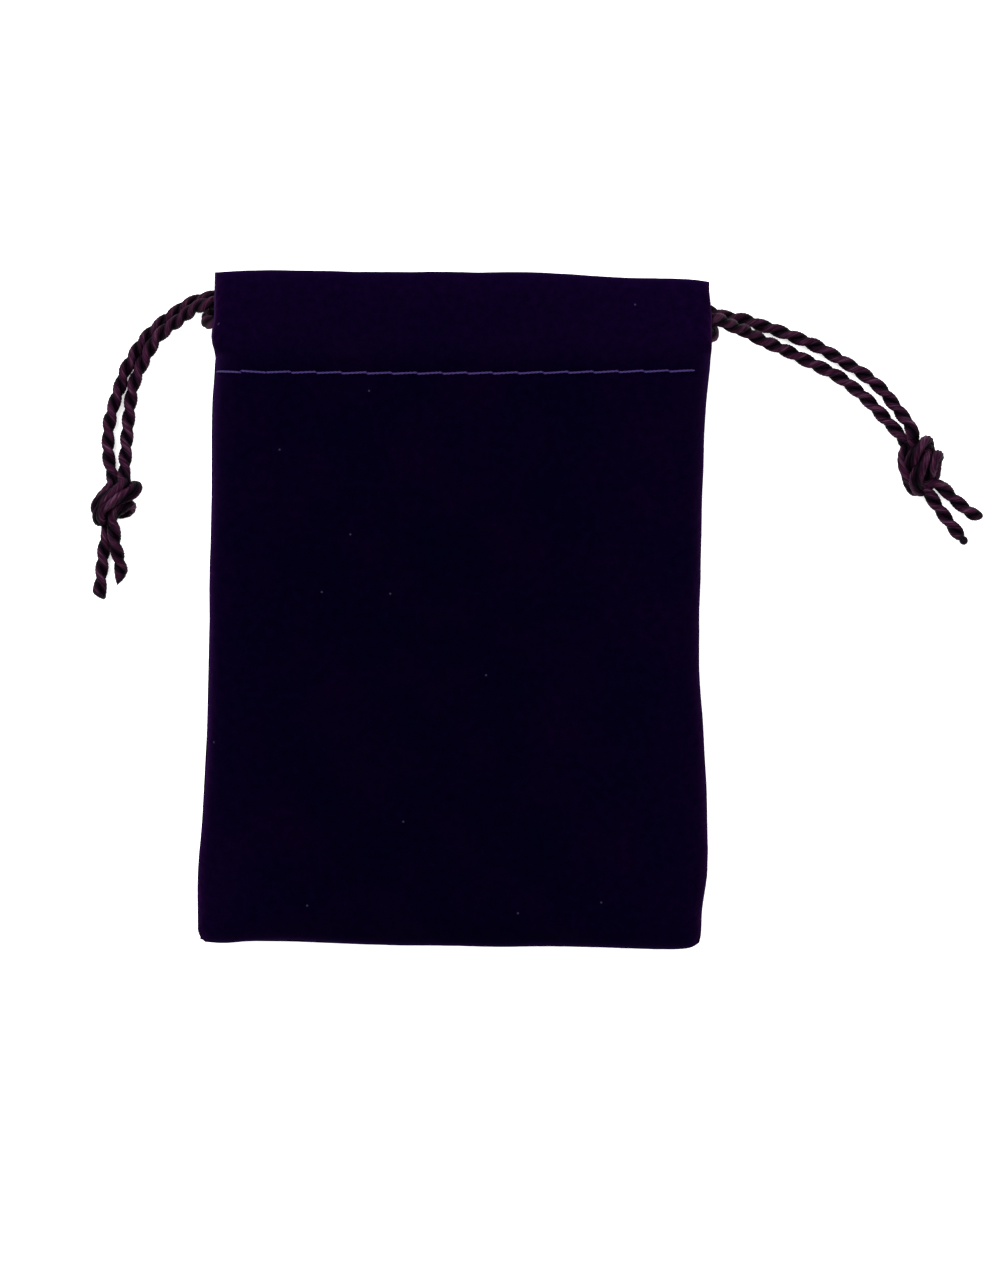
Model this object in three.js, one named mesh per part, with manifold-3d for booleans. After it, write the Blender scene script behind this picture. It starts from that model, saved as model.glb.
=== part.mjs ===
// Small velvet pouch with two drawstrings, empty and lying flat on its back.
// Millimetres, +Z up, +Y from the bottom seam to the mouth. The origin is under the middle of the cloth.
//
// Two velvet panels are sewn together along both sides and the bottom, and turned right side out.
// Each panel's top is folded into the mouth and stitched down, which makes a casing open at both ends.
// Each drawstring runs through one casing, round the far side, back through the other casing,
// and both its ends leave the near side together and share one knot.

import * as THREE from 'three';
import { mergeVertices } from 'three/addons/utils/BufferGeometryUtils.js';
import Module from 'manifold-3d';

const wasm = await Module();
wasm.setup();

// Driving dimensions.
const CLOTH = 0.6; // thickness of the velvet
const TOP_Y = 51.5; // highest point of the folded top edge
const STITCH_Y = 36; // casing stitch row
const HEM_Y = 32; // raw lower edge of the folded-in hem
const SLIT_LOW_Y = 37.3; // the side seams end here
const SLIT_HIGH_Y = 40.6; // the casings are fully apart from here up
const CASING_TOP_Z = 12; // top of the front casing above the table
const CHANNEL = 2.6; // clear height inside a casing
const EDGE_RADIUS = 5; // rounding of the sides and the bottom
const SEAM_Z = 3.8; // height of the side and bottom seams above the table
const SEAM_GAP = 0.15; // each panel's distance from the plane of the seams
const ALLOWANCE = 5; // seam allowance turned to the inside
const THREAD_D = 0.36; // sewing thread
const CLEAR = 0.1; // between a thread and the cloth it lies on
const CORD_D = 1.95; // two-ply drawstring where it is free
const CORD_FLAT = [1.0, 2.2]; // height and width of the drawstring pressed inside a casing
const CORD_CLEAR = 0.2; // between the drawstring and whatever is above or below it in a casing
const CORD_REST_Z = 1.05; // centre of a drawstring lying on the table

// Outline of the cloth: [y, x] down each side and [x, y] along the bottom and the top.
const LEFT = [
  [-51.6, -37.6], [-50.1, -38.5], [-47.8, -39.1], [-42.5, -39.1], [-28.8, -38.2], [-9, -37.4],
  [7.7, -37.1], [27.4, -36.9], [36.3, -36.5], [39.6, -36.6], [41.7, -37.1], [44, -36.7], [51.5, -36.5],
];
const RIGHT = [
  [-51.6, 34.5], [-50.5, 36.2], [-47.8, 37.2], [-42, 38], [-37.9, 38.3], [-33.4, 38.3], [-6, 37.1],
  [1.6, 37.2], [20, 37.9], [36.2, 38.6], [41, 39], [46.3, 39], [50.1, 38.6],
];
const BOTTOM = [
  [-38.5, -50.2], [-35.3, -50.5], [-22.6, -50.4], [-16.1, -50.7], [12.5, -51], [33.7, -51.6],
  [36.5, -50.6], [38, -49],
];
const TOP = [[-36.5, 51.4], [8.5, TOP_Y], [23, 50.8], [37.4, 50.2], [38.7, 49.8]];

// Height of the front panel's outer face along the bag, and of the back panel's, which rests on the table.
const FRONT_FACE = [
  [-45, 7.6], [-29, 8], [9, 8.6], [25, 9.2], [31, 9.6], [STITCH_Y, 10.2], [38.4, 11.3],
  [SLIT_HIGH_Y, CASING_TOP_Z],
];
const GROOVE = 0.6; // depth of the groove that the stitch row pulls into the back
const BACK_FACE = [[STITCH_Y - 1.5, 0], [STITCH_Y, GROOVE], [STITCH_Y + 1.5, 0]];
// Clear height between a panel and its hem: shut at the stitch row, open where the drawstrings run.
const CASING = [[HEM_Y, 0.4], [STITCH_Y, 0.15], [SLIT_HIGH_Y, CHANNEL], [TOP_Y, CHANNEL]];

// Value of a broken line of [key, value] stops at t, level beyond both ends.
function at(stops, t) {
  const next = stops.findIndex(([key]) => key > t);
  if (next === 0) return stops[0][1];
  if (next < 0) return stops.at(-1)[1];
  const [[t0, v0], [t1, v1]] = [stops[next - 1], stops[next]];
  return THREE.MathUtils.mapLinear(t, t0, t1, v0, v1);
}

const { lerp, smoothstep } = THREE.MathUtils;
const quarterRound = (t) => Math.sqrt(1 - (1 - Math.min(t, 1)) ** 2);
const slitOpening = (y) => smoothstep(y, SLIT_LOW_Y, SLIT_HIGH_Y);

// The two panels differ in which way their outer face points and in how high that face lies.
const FRONT = { out: 1, face: FRONT_FACE };
const BACK = { out: -1, face: BACK_FACE };

const hemHeight = (panel, y) => at(panel.face, y) - panel.out * (2 * CLOTH + at(CASING, y));

// Height of a panel's surface, `depth` below its outer face, at given shares of the rounded edges.
function faceHeight(panel, y, depth, riseAcross, riseAlong) {
  const high = at(panel.face, y) - panel.out * depth;
  const seam = SEAM_Z + panel.out * SEAM_GAP;
  const edge = lerp(seam, high, slitOpening(y));
  return edge + (high - edge) * riseAcross * riseAlong;
}

// ---- Geometry helpers ----

// Merges a geometry's vertices and turns its faces outward.
function closed(geometry) {
  geometry.deleteAttribute('normal');
  geometry.deleteAttribute('uv');
  const merged = mergeVertices(geometry, 1e-5);
  const position = merged.getAttribute('position');
  const index = merged.getIndex();
  const [a, b, c] = [new THREE.Vector3(), new THREE.Vector3(), new THREE.Vector3()];
  let volume = 0;
  for (let i = 0; i < index.count; i += 3) {
    a.fromBufferAttribute(position, index.getX(i));
    b.fromBufferAttribute(position, index.getX(i + 1));
    c.fromBufferAttribute(position, index.getX(i + 2));
    volume += a.dot(b.cross(c));
  }
  if (volume < 0) index.array.reverse();
  return merged;
}

function toManifold(geometry) {
  const shape = closed(geometry);
  return new wasm.Manifold(new wasm.Mesh({
    numProp: 3,
    vertProperties: Float32Array.from(shape.getAttribute('position').array),
    triVerts: Uint32Array.from(shape.getIndex().array),
  }));
}

// Joins closed geometries into one body.
function union(geometries) {
  const joined = geometries.map(toManifold).reduce((a, b) => a.add(b)).getMesh();
  const geometry = new THREE.BufferGeometry();
  geometry.setAttribute('position', new THREE.BufferAttribute(joined.vertProperties, 3));
  geometry.setIndex(new THREE.BufferAttribute(joined.triVerts, 1));
  return geometry;
}

// A closed skin from two matching grids of points, the two faces of one sheet.
function sheetBetween(upper, lower) {
  const rows = upper.length;
  const columns = upper[0].length;
  const points = [...upper.flat(), ...lower.flat()];
  const cell = (layer, row, column) => layer * rows * columns + row * columns + column;
  const index = [];
  const quad = (a, b, c, d) => index.push(a, b, c, a, c, d);
  for (let r = 0; r < rows - 1; r += 1) {
    for (let c = 0; c < columns - 1; c += 1) {
      quad(cell(0, r, c), cell(0, r, c + 1), cell(0, r + 1, c + 1), cell(0, r + 1, c));
      quad(cell(1, r, c), cell(1, r + 1, c), cell(1, r + 1, c + 1), cell(1, r, c + 1));
    }
  }
  for (let r = 0; r < rows - 1; r += 1) {
    const last = columns - 1;
    quad(cell(0, r, 0), cell(0, r + 1, 0), cell(1, r + 1, 0), cell(1, r, 0));
    quad(cell(0, r + 1, last), cell(0, r, last), cell(1, r, last), cell(1, r + 1, last));
  }
  for (let c = 0; c < columns - 1; c += 1) {
    const last = rows - 1;
    quad(cell(0, 0, c + 1), cell(0, 0, c), cell(1, 0, c), cell(1, 0, c + 1));
    quad(cell(0, last, c), cell(0, last, c + 1), cell(1, last, c + 1), cell(1, last, c));
  }
  const geometry = new THREE.BufferGeometry().setFromPoints(points);
  geometry.setIndex(index);
  return geometry;
}

// A solid cord or thread: an oval section swept along a smooth curve through the points.
function cordAlong(points, [height, width], sides, step) {
  const route = new THREE.CatmullRomCurve3(points.map((p) => new THREE.Vector3(...p)), false, 'centripetal');
  const section = new THREE.Shape();
  for (let i = 0; i < sides; i += 1) {
    const angle = (i * 2 * Math.PI) / sides;
    const corner = [(height / 2) * Math.cos(angle), (width / 2) * Math.sin(angle)];
    if (i === 0) section.moveTo(...corner);
    else section.lineTo(...corner);
  }
  const steps = Math.ceil(route.getLength() / step);
  return closed(new THREE.ExtrudeGeometry(section, { steps, extrudePath: route, bevelEnabled: false }));
}

// ---- Velvet panels ----

// Places across a panel: the rounded left edge, the flat middle, the rounded right edge.
const ROUNDING = [0, 0.06, 0.25, 0.55];
const COLUMNS = [
  ...ROUNDING.map((share) => ({ from: 'left', share, rise: quarterRound(share) })),
  ...[0, 0.2, 0.4, 0.6, 0.8, 1].map((share) => ({ from: 'middle', share, rise: 1 })),
  ...ROUNDING.toReversed().map((share) => ({ from: 'right', share, rise: quarterRound(share) })),
];
const HEM_INSET = [1.5, 4.5]; // how far the hem stays inside the sides: in the casing, and below it

function acrossAt(y, column, inset, radius) {
  const left = at(LEFT, y) + inset;
  const right = at(RIGHT, y) - inset;
  if (column.from === 'left') return left + column.share * radius;
  if (column.from === 'right') return right - column.share * radius;
  return lerp(left + radius, right - radius, column.share);
}

// Rows of the outer layer, rounded up from the bottom seam and then along the bag.
function bottomPoint(panel, share, column, depth) {
  const aboveSeam = depth + share * (EDGE_RADIUS - depth);
  const x = acrossAt(BOTTOM[0][1] + aboveSeam, column, depth, EDGE_RADIUS - depth);
  const y = at(BOTTOM, x) + aboveSeam;
  return new THREE.Vector3(x, y, faceHeight(panel, y, depth, column.rise, quarterRound(share)));
}

function outerPoint(panel, nominalY, column, depth) {
  const open = slitOpening(nominalY);
  const x = acrossAt(nominalY, column, depth * (1 - open), EDGE_RADIUS - depth * (1 - open));
  const aboveSlit = Math.max(nominalY - SLIT_LOW_Y, 0);
  const y = nominalY - (aboveSlit * (TOP_Y - at(TOP, x))) / (TOP_Y - SLIT_LOW_Y);
  return new THREE.Vector3(x, y, faceHeight(panel, nominalY, depth, column.rise, 1));
}

// The fold along the top: half a turn from the outer layer to the hem. The hem's ends are set in a little.
const FOLD_RADIUS = (2 * CLOTH + CHANNEL) / 2;
function foldPoint(panel, angle, column, depth) {
  const inset = HEM_INSET[0] * smoothstep(angle, 0, Math.PI);
  const x = acrossAt(TOP_Y - FOLD_RADIUS, column, inset, EDGE_RADIUS);
  const radius = FOLD_RADIUS - depth;
  const centreZ = at(panel.face, TOP_Y) - panel.out * FOLD_RADIUS;
  const y = at(TOP, x) - FOLD_RADIUS + radius * Math.sin(angle);
  return new THREE.Vector3(x, y, centreZ + panel.out * radius * Math.cos(angle));
}

function hemPoint(panel, nominalY, column, depth) {
  const inset = lerp(HEM_INSET[1], HEM_INSET[0], slitOpening(nominalY));
  const x = acrossAt(nominalY, column, inset, EDGE_RADIUS);
  const aboveSlit = Math.max(nominalY - SLIT_LOW_Y, 0);
  const y = nominalY - (aboveSlit * (TOP_Y - at(TOP, x))) / (TOP_Y - SLIT_LOW_Y);
  return new THREE.Vector3(x, y, hemHeight(panel, nominalY) + panel.out * depth);
}

// The turned-in seam allowance: a flat strip along both sides and the bottom.
function allowanceStrip(panel) {
  const lap = CLOTH / 2; // it starts inside the panel's edge, which it is joined to
  const sideYs = [SLIT_LOW_Y, 25, 9, -9, -29, -42.5];
  const bottomXs = [-30, 0, 30];
  const leftX = (inset) => sideYs.map((y) => [at(LEFT, y) + inset, y]);
  const rightX = (inset) => sideYs.map((y) => [at(RIGHT, y) - inset, y]).toReversed();
  const bottomY = (inset) => bottomXs.map((x) => [x, at(BOTTOM, x) + inset]);
  const corner = (xs, side, inset) => [xs + side * inset, -50 + inset];
  const outer = [...leftX(lap), corner(-38, 1, lap), ...bottomY(lap), corner(36, -1, lap), ...rightX(lap)];
  const inner = [
    ...leftX(ALLOWANCE), corner(-38.5, 1, ALLOWANCE), ...bottomY(ALLOWANCE),
    corner(37, -1, ALLOWANCE), ...rightX(ALLOWANCE),
  ];
  const outline = new THREE.Shape([...outer, ...inner.toReversed()].map(([x, y]) => new THREE.Vector2(x, y)));
  const strip = new THREE.ExtrudeGeometry(outline, { depth: CLOTH, bevelEnabled: false });
  const low = panel.out > 0 ? SEAM_Z + SEAM_GAP : SEAM_Z - SEAM_GAP - CLOTH;
  return strip.translate(0, 0, low);
}

function velvetPanel(panel) {
  const bottomShares = [...ROUNDING, 1];
  const outerYs = [-42.5, -37, -29, -9, 9, 25, 31, 34.5, STITCH_Y, 37.5, 38.4, 39.5, SLIT_HIGH_Y, 44, 47.5];
  const foldAngles = [0, 0.25, 0.5, 0.75, 1].map((share) => share * Math.PI);
  const hemYs = [47.5, 44, SLIT_HIGH_Y, 39.5, 38.4, 37.5, STITCH_Y, 34.5, HEM_Y];
  const face = (depth) => [
    ...bottomShares.map((share) => COLUMNS.map((column) => bottomPoint(panel, share, column, depth))),
    ...outerYs.map((y) => COLUMNS.map((column) => outerPoint(panel, y, column, depth))),
    ...foldAngles.map((angle) => COLUMNS.map((column) => foldPoint(panel, angle, column, depth))),
    ...hemYs.map((y) => COLUMNS.map((column) => hemPoint(panel, y, column, depth))),
  ];
  return union([sheetBetween(face(0), face(CLOTH)), allowanceStrip(panel)]);
}

// ---- Sewing threads: a needle thread on one side of each seam, a bobbin thread on the other ----

const THREAD_RADIUS = THREAD_D / 2;
const STRAIGHT_STEP = 8;
const BENT_STEP = 2;
const threadAlong = (points, step) => cordAlong(points, [THREAD_D, THREAD_D], 6, step);

// The needle thread bends down over the rounded left side and stops before the right side's curve ends.
const NEEDLE_THREAD_ENDS = { left: Math.PI * 0.15, right: Math.PI * 0.32 };

function casingNeedleThread(panel) {
  const seam = SEAM_Z + panel.out * SEAM_GAP;
  const rise = at(panel.face, STITCH_Y) - seam;
  const off = THREAD_RADIUS + CLEAR;
  const overEdge = (edge, side, angle) => {
    const [across, up] = [Math.cos(angle) / EDGE_RADIUS, Math.sin(angle) / Math.abs(rise)];
    const slope = Math.hypot(across, up);
    const x = edge - side * (EDGE_RADIUS * (1 - Math.cos(angle)) - (off * across) / slope);
    return [x, STITCH_Y, seam + rise * Math.sin(angle) + (panel.out * off * up) / slope];
  };
  const bend = (from) => [0, 0.33, 0.67, 1].map((share) => lerp(from, Math.PI / 2, share));
  const leftBend = bend(NEEDLE_THREAD_ENDS.left).map((angle) => overEdge(at(LEFT, STITCH_Y), -1, angle));
  const rightBend = bend(NEEDLE_THREAD_ENDS.right).map((angle) => overEdge(at(RIGHT, STITCH_Y), 1, angle));
  return threadAlong([...leftBend, [0, STITCH_Y, leftBend.at(-1)[2]], ...rightBend.toReversed()], BENT_STEP);
}

function casingBobbinThread(panel) {
  const z = hemHeight(panel, STITCH_Y) - panel.out * (THREAD_RADIUS + CLEAR);
  return threadAlong([-31, 0, 33].map((x) => [x, STITCH_Y, z]), STRAIGHT_STEP);
}

const SEAM_INSET = 1.3; // the seam's stitches run this far inside the outline
const seamThreadZ = (out) => SEAM_Z + out * (SEAM_GAP + CLOTH + CLEAR + THREAD_RADIUS);
const SIDE_SEAM_YS = [SLIT_LOW_Y, 25, 9, -9, -29, -37, -42.5, -46];

const leftSeamThread = (out) => threadAlong(
  SIDE_SEAM_YS.map((y) => [at(LEFT, y) + SEAM_INSET, y, seamThreadZ(out)]),
  STRAIGHT_STEP,
);
const rightSeamThread = (out) => threadAlong(
  SIDE_SEAM_YS.map((y) => [at(RIGHT, y) - SEAM_INSET, y, seamThreadZ(out)]),
  STRAIGHT_STEP,
);
const bottomSeamThread = (out) => threadAlong(
  [-35, -20, 0, 20, 33].map((x) => [x, at(BOTTOM, x) + SEAM_INSET, seamThreadZ(out)]),
  STRAIGHT_STEP,
);

// ---- Drawstrings ----

// Inside the casings the left drawstring lies on the hems and the right one lies on the outer layers.
const halfFlat = CORD_FLAT[0] / 2;
const LEFT_STRING_Z = CLOTH + CHANNEL - CORD_CLEAR - halfFlat;
const RIGHT_STRING_Z = CLOTH + CORD_CLEAR + halfFlat;
const inFront = (z) => CASING_TOP_Z - z;

// Each run goes in at its own side's slit through the front casing, round the far slit and back.
const LEFT_RUN = [
  [-36.5, 46.6, inFront(LEFT_STRING_Z)], [-34, 46.2, inFront(LEFT_STRING_Z)],
  [-29, 44.4, inFront(LEFT_STRING_Z)], [-24, 42.5, inFront(LEFT_STRING_Z)],
  [-19, 42, inFront(LEFT_STRING_Z)], [0, 42, inFront(LEFT_STRING_Z)], [20, 42, inFront(LEFT_STRING_Z)],
  [35, 41.8, inFront(LEFT_STRING_Z)], [38.2, 41.7, 9.4], [39.3, 41.7, 8.2], [39.5, 42.1, 6],
  [39.3, 42.6, 3.7], [38.2, 42.7, 2.6], [35, 42.5, LEFT_STRING_Z], [20, 42, LEFT_STRING_Z],
  [0, 42, LEFT_STRING_Z], [-19, 42, LEFT_STRING_Z], [-24, 42.7, LEFT_STRING_Z], [-29, 45, LEFT_STRING_Z],
  [-34, 47.1, LEFT_STRING_Z], [-36.4, 47.8, LEFT_STRING_Z],
];
const RIGHT_RUN = [
  [38.5, 44.2, inFront(RIGHT_STRING_Z)], [34, 44.2, inFront(RIGHT_STRING_Z)],
  [20, 44.3, inFront(RIGHT_STRING_Z)], [0, 44.3, inFront(RIGHT_STRING_Z)],
  [-20, 44.3, inFront(RIGHT_STRING_Z)], [-34, 43.8, inFront(RIGHT_STRING_Z)], [-36.8, 43.6, 10.4],
  [-37.7, 43.7, 9.2], [-37.9, 44.3, 6.5], [-37.7, 45.3, 3.6], [-36.8, 45.8, 1.8],
  [-34, 45.5, RIGHT_STRING_Z], [-20, 44.3, RIGHT_STRING_Z], [0, 44.3, RIGHT_STRING_Z],
  [20, 44.3, RIGHT_STRING_Z], [34, 45.1, RIGHT_STRING_Z], [38.5, 45.7, RIGHT_STRING_Z],
];

// Free tails, from the slit down to the table and along it to the knot.
const REST = CORD_REST_Z;
const LEFT_FRONT_TAIL = [
  [-37, 46.5, 9.3], [-38.6, 46.2, 8.1], [-40.1, 45.5, 6.4], [-41.8, 44.3, 4.7], [-43.6, 43.1, 3.3],
  [-45.4, 41.6, 2.8], [-46.9, 39.2, 2.2], [-48.1, 36.9, 1.7], [-49.1, 34.4, 1.35], [-49.6, 31.7, REST],
  [-50, 28, REST], [-50.3, 24.3, 1.4], [-50.5, 20.4, 2.7],
];
const LEFT_BACK_TAIL = [
  [-37, 47.8, 2.4], [-38.7, 47.5, 1.9], [-40.7, 46.8, 1.3], [-42.4, 45.7, REST], [-44.2, 44.4, REST],
  [-46.1, 42.8, REST], [-47.8, 40.9, REST], [-49.4, 38.4, REST], [-50.5, 36.4, REST], [-51.25, 34, REST],
  [-52.05, 31.7, REST], [-52.8, 28.7, REST], [-53, 25.9, REST], [-52.9, 23.3, 1.1], [-52.3, 20.4, 1.3],
];
const RIGHT_FRONT_TAIL = [
  [39.2, 44.2, 10.5], [40.5, 43.9, 9.4], [42.3, 43.1, 7.3], [44.4, 42.4, 5.2], [46.6, 41.3, 3.5],
  [48.8, 40.4, 2.2], [51.2, 39.4, 1.4], [53.4, 38.3, REST], [55.9, 37.1, REST], [58.4, 35.8, REST],
  [60.6, 34.2, REST], [62.5, 32.6, REST], [64.2, 30.9, REST], [65.9, 29, 1.2], [67.6, 27.1, 1.7],
  [68.3, 26.1, 2],
];
const RIGHT_BACK_TAIL = [
  [39.2, 45.5, 1.3], [41.6, 44.8, REST], [44.1, 44.4, REST], [46.6, 43.6, REST], [49.1, 42.8, REST],
  [51.5, 41.9, REST], [54.1, 40.9, REST], [56.5, 39.7, REST], [59, 38.2, REST], [61.5, 36.7, REST],
  [63.4, 35.3, REST], [65.4, 33.5, REST], [67, 31.4, 1.2], [68.6, 29.2, 2.2], [69.7, 27.1, 3.6],
];

// Short ends beyond the knots, one from each tail.
const LEFT_ENDS = [
  [[-53, 12.4, 1.3], [-53.5, 10.2, REST], [-53.85, 7.5, REST], [-54.1, 4.8, REST], [-54.4, 2.1, REST]],
  [
    [-52.05, 12.4, 3], [-51.85, 10.8, 2.8], [-51.6, 9.2, 2.3], [-51.2, 7.6, 1.5], [-51, 6, REST],
    [-51, 4.5, REST],
  ],
];
const RIGHT_ENDS = [
  [[74.5, 18.65, 1.9], [75.8, 17.4, 1.3], [77.5, 15.9, REST], [79, 14.8, REST], [80.5, 14.4, REST]],
  [[72.45, 17.7, 1.4], [73.4, 16.25, REST], [74.6, 14.6, REST], [75.9, 12.9, REST], [77.4, 11, REST]],
];

const CORD_STEP = 2.6;
const freeCord = (points) => cordAlong(points, [CORD_D, CORD_D], 8, CORD_STEP);
const casedCord = (points) => cordAlong(points, CORD_FLAT, 8, CORD_STEP);

// An overhand knot tied in both tails together: a core with two wraps round it, wider than it is high.
function doubledKnot([x, y], [length, width, height], turn) {
  const core = new THREE.SphereGeometry(0.5, 12, 8).rotateZ(Math.PI / 2).scale(length, 0.7 * width, height);
  const ring = new THREE.TorusGeometry(0.33, 0.17, 8, 14).rotateY(Math.PI / 2);
  const wraps = [-1, 1].map((side) => (
    ring.clone().scale(0.95 * length, width, height).translate(side * 0.17 * length, 0, 0)
  ));
  return union([core, ...wraps]).rotateZ(turn).translate(x, y, height / 2 + CLEAR);
}

// ---- The assembly ----

const VELVET = new THREE.MeshStandardMaterial({ color: 0x12001f, roughness: 0.95, metalness: 0 });
const THREAD = new THREE.MeshStandardMaterial({ color: 0x37306e, roughness: 0.6, metalness: 0 });
const CORD = new THREE.MeshStandardMaterial({ color: 0x4a2742, roughness: 0.45, metalness: 0 });

function mesh(name, geometry, material) {
  const made = new THREE.Mesh(geometry, material);
  made.name = name;
  return made;
}

const pouch = new THREE.Group();
pouch.add(mesh('front_panel', velvetPanel(FRONT), VELVET));
pouch.add(mesh('back_panel', velvetPanel(BACK), VELVET));
pouch.add(mesh('front_casing_needle_thread', casingNeedleThread(FRONT), THREAD));
pouch.add(mesh('front_casing_bobbin_thread', casingBobbinThread(FRONT), THREAD));
pouch.add(mesh('back_casing_needle_thread', casingNeedleThread(BACK), THREAD));
pouch.add(mesh('back_casing_bobbin_thread', casingBobbinThread(BACK), THREAD));
const seamThreads = { left: leftSeamThread, right: rightSeamThread, bottom: bottomSeamThread };
Object.entries(seamThreads).forEach(([seam, thread]) => {
  pouch.add(mesh(`${seam}_seam_needle_thread`, thread(1), THREAD));
  pouch.add(mesh(`${seam}_seam_bobbin_thread`, thread(-1), THREAD));
});

function drawstring(side, run, tails, knot, ends) {
  const string = new THREE.Group();
  string.add(mesh(`${side}_string_run`, casedCord(run), CORD));
  string.add(mesh(`${side}_string_front_tail`, freeCord(tails.front), CORD));
  string.add(mesh(`${side}_string_back_tail`, freeCord(tails.back), CORD));
  string.add(mesh(`${side}_string_knot`, knot, CORD));
  ends.forEach((points, i) => {
    string.add(mesh(`${side}_string_end_${i + 1}`, freeCord(points), CORD));
  });
  return string;
}

const LEFT_KNOT = { at: [-51.8, 16.3], size: [7.5, 7.4, 5], turn: Math.PI * 0.56 };
const RIGHT_KNOT = { at: [71.1, 21.9], size: [9.2, 6.2, 5], turn: -Math.PI * 0.36 };
const knotSolid = (knot) => doubledKnot(knot.at, knot.size, knot.turn);

pouch.add(drawstring(
  'left',
  LEFT_RUN,
  { front: LEFT_FRONT_TAIL, back: LEFT_BACK_TAIL },
  knotSolid(LEFT_KNOT),
  LEFT_ENDS,
));
pouch.add(drawstring(
  'right',
  RIGHT_RUN,
  { front: RIGHT_FRONT_TAIL, back: RIGHT_BACK_TAIL },
  knotSolid(RIGHT_KNOT),
  RIGHT_ENDS,
));

export default pouch;
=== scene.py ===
# Drawstring dice bag: the looks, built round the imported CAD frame.
# Shapes are modelled in the frame's axes in millimetres, and new_piece() turns them into metres.

import math
import bpy
import numpy as np
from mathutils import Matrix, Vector, noise


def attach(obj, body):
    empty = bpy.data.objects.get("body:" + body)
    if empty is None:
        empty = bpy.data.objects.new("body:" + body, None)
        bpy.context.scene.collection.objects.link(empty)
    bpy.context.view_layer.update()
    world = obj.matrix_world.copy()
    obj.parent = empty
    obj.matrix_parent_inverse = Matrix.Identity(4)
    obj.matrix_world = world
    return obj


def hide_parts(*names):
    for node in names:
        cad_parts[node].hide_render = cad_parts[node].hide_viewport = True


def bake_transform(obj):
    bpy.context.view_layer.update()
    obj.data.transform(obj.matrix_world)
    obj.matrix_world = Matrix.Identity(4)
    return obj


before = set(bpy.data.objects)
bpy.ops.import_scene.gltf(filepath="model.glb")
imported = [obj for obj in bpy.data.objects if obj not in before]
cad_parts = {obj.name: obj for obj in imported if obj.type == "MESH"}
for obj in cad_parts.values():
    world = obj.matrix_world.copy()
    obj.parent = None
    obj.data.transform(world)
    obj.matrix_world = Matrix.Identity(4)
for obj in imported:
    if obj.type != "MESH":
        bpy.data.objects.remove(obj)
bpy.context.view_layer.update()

MM = 0.001

# ---- Materials ----


class Paint:
    """A material with one Principled shader, and short ways to add nodes to it."""

    def __init__(self, name, **constants):
        self.material = bpy.data.materials.new(name)
        self.material.use_nodes = True
        self.tree = self.material.node_tree
        self.shader = self.tree.nodes["Principled BSDF"]
        for socket, value in constants.items():
            self.shader.inputs[socket.replace("_", " ")].default_value = value

    def node(self, kind, inputs=(), **settings):
        made = self.tree.nodes.new(kind)
        for key, value in settings.items():
            setattr(made, key, value)
        for socket, value in dict(inputs).items():
            if isinstance(value, bpy.types.NodeSocket):
                self.tree.links.new(value, made.inputs[socket])
            else:
                made.inputs[socket].default_value = value
        return made

    def attribute(self, name, scale=(1, 1, 1)):
        read = self.node("ShaderNodeAttribute", attribute_name=name)
        scaled = self.node("ShaderNodeMapping", {"Vector": read.outputs["Vector"], "Scale": scale})
        return scaled.outputs["Vector"]

    def share(self, name):
        return self.node("ShaderNodeAttribute", attribute_name=name).outputs["Fac"]

    def noise(self, where, scale, detail, roughness):
        made = self.node(
            "ShaderNodeTexNoise",
            {"Vector": where, "Scale": scale, "Detail": detail, "Roughness": roughness},
        )
        return made.outputs["Fac"]

    def ramp(self, value, stops):
        made = self.node("ShaderNodeValToRGB", {"Fac": value})
        elements = made.color_ramp.elements
        while len(elements) < len(stops):
            elements.new(0.5)
        for element, (place, colour) in zip(elements, stops):
            element.position = place
            element.color = (*colour, 1)
        return made.outputs["Color"]

    def mix(self, share, a, b, blend="MIX"):
        """The mix of two colours. Its colour sockets are numbers 6, 7 and, for the result, 2."""
        a, b = ((*value, 1) if isinstance(value, tuple) else value for value in (a, b))
        inputs = {0: share, 6: a, 7: b}
        return self.node("ShaderNodeMix", inputs, data_type="RGBA", blend_type=blend).outputs[2]

    def math(self, operation, *values):
        return self.node("ShaderNodeMath", dict(enumerate(values)), operation=operation).outputs[0]

    def bump(self, height, strength, distance):
        made = self.node(
            "ShaderNodeBump",
            {"Height": height, "Strength": strength, "Distance": distance * MM},
        )
        self.tree.links.new(made.outputs["Normal"], self.shader.inputs["Normal"])

    def drive(self, socket, output):
        self.tree.links.new(output, self.shader.inputs[socket])


def grey(value):
    return (value, value, value)


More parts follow.
